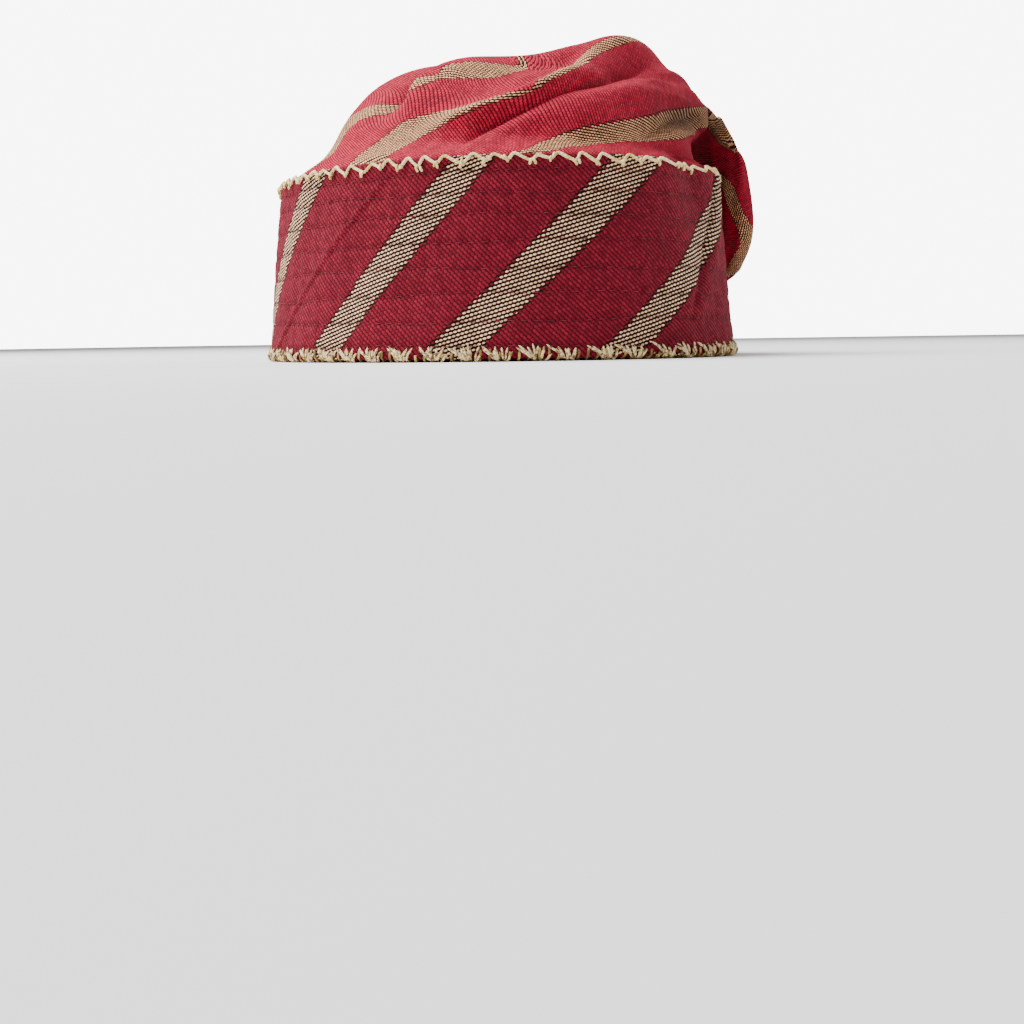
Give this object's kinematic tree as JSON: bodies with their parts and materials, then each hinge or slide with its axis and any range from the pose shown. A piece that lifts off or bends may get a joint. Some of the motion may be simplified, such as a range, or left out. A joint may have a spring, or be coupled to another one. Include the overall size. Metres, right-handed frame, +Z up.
{
  "type": "fila cap",
  "caption": "Tall soft cloth cap with a stiff quilted band round the head and a folded crown that flops over the band's rim.",
  "frame": {"origin": "middle of the whole cap's box, on the plane that the band's bottom rim rests on", "axes": "+Z up through the crown, -Y out of the cap's front, +X toward the wearer's left"},
  "size_m": [0.1969, 0.2058, 0.1308],
  "materials": {
    "band_cloth": "matt woven cloth, quilted, crimson with cream stripes",
    "crown_cloth": "matt woven cloth, soft, crimson with cream stripes"
  },
  "bodies": {
    "root": {"band": "band_cloth", "crown": "crown_cloth"}
  },
  "joints": []
}
